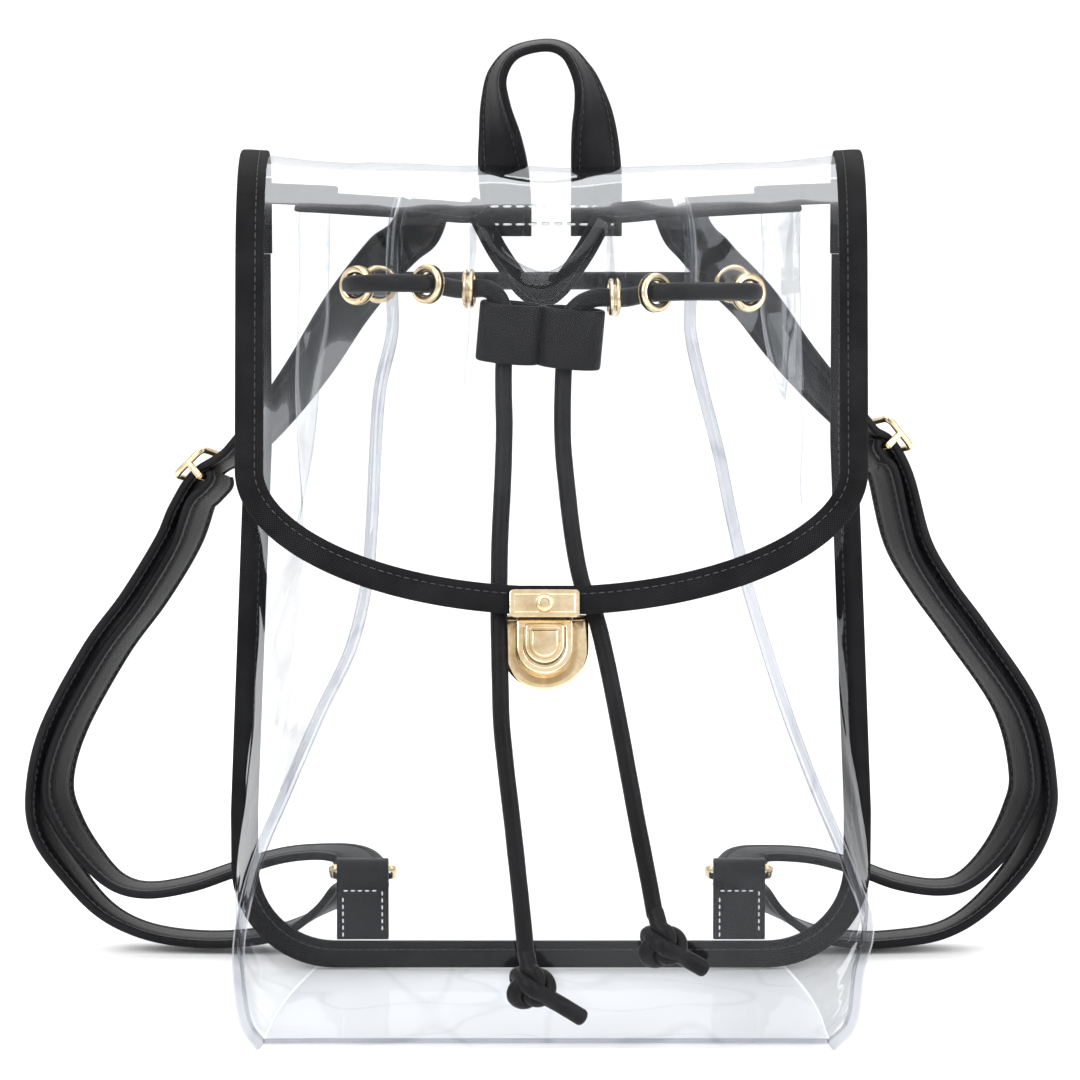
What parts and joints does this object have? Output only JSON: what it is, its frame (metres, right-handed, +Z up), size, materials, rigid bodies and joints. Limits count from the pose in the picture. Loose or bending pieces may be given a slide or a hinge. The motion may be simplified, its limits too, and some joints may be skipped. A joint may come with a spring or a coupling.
{
  "type": "clear drawstring backpack",
  "caption": "Clear sheet backpack with bound edges, a drawn mouth, a flap with a press lock, a top handle and adjustable shoulder straps.",
  "frame": {"origin": "middle of the underside of the bottom panel, on the surface that the bag stands on", "axes": "+Z up, -Y towards the front with the lock, +X towards the right as seen from the front"},
  "size_m": [0.3819, 0.1803, 0.3406],
  "materials": {
    "clear_sheet": "clear soft sheet, glossy, with a faint cool tint where it lies double",
    "binding": "black woven edge binding with one row of stitches",
    "strap_leather": "smooth black coated fabric strap, satin",
    "gold_metal": "pale gold plate, polished",
    "cord": "round sewn black cord, satin"
  },
  "bodies": {
    "root": {"front_panel": "clear_sheet", "gusset_left": "clear_sheet", "gusset_right": "clear_sheet", "bottom_panel": "clear_sheet", "back_panel": "clear_sheet", "flap": "clear_sheet", "rim_binding_front": "binding", "rim_binding_left": "binding", "rim_binding_right": "binding", "back_binding": "binding", "flap_binding": "binding", "strap_left": "strap_leather", "strap_right": "strap_leather", "tab_left": "strap_leather", "tab_right": "strap_leather", "handle": "strap_leather", "stopper": "strap_leather", "grommet_front_outer_left": "gold_metal", "grommet_front_inner_left": "gold_metal", "grommet_front_inner_right": "gold_metal", "grommet_front_outer_right": "gold_metal", "grommet_gusset_left": "gold_metal", "grommet_gusset_right": "gold_metal", "grommet_back_left": "gold_metal", "grommet_back_right": "gold_metal", "buckle_left": "gold_metal", "buckle_right": "gold_metal", "ring_left": "gold_metal", "ring_right": "gold_metal", "lock_case": "gold_metal", "lock_tongue": "gold_metal", "drawstring": "cord", "cord_tail_left": "cord", "knot_left": "cord", "cord_tail_right": "cord", "knot_right": "cord"},
    "button": {"lock_button": "gold_metal"}
  },
  "joints": [
    {"name": "lock_press", "type": "slide", "parent": "root", "child": "button", "axis": [0, 0.9514, -0.3078], "range_m": [0, 0.001], "stiffness_N_per_m": 300, "springref_m": -0.001}
  ]
}
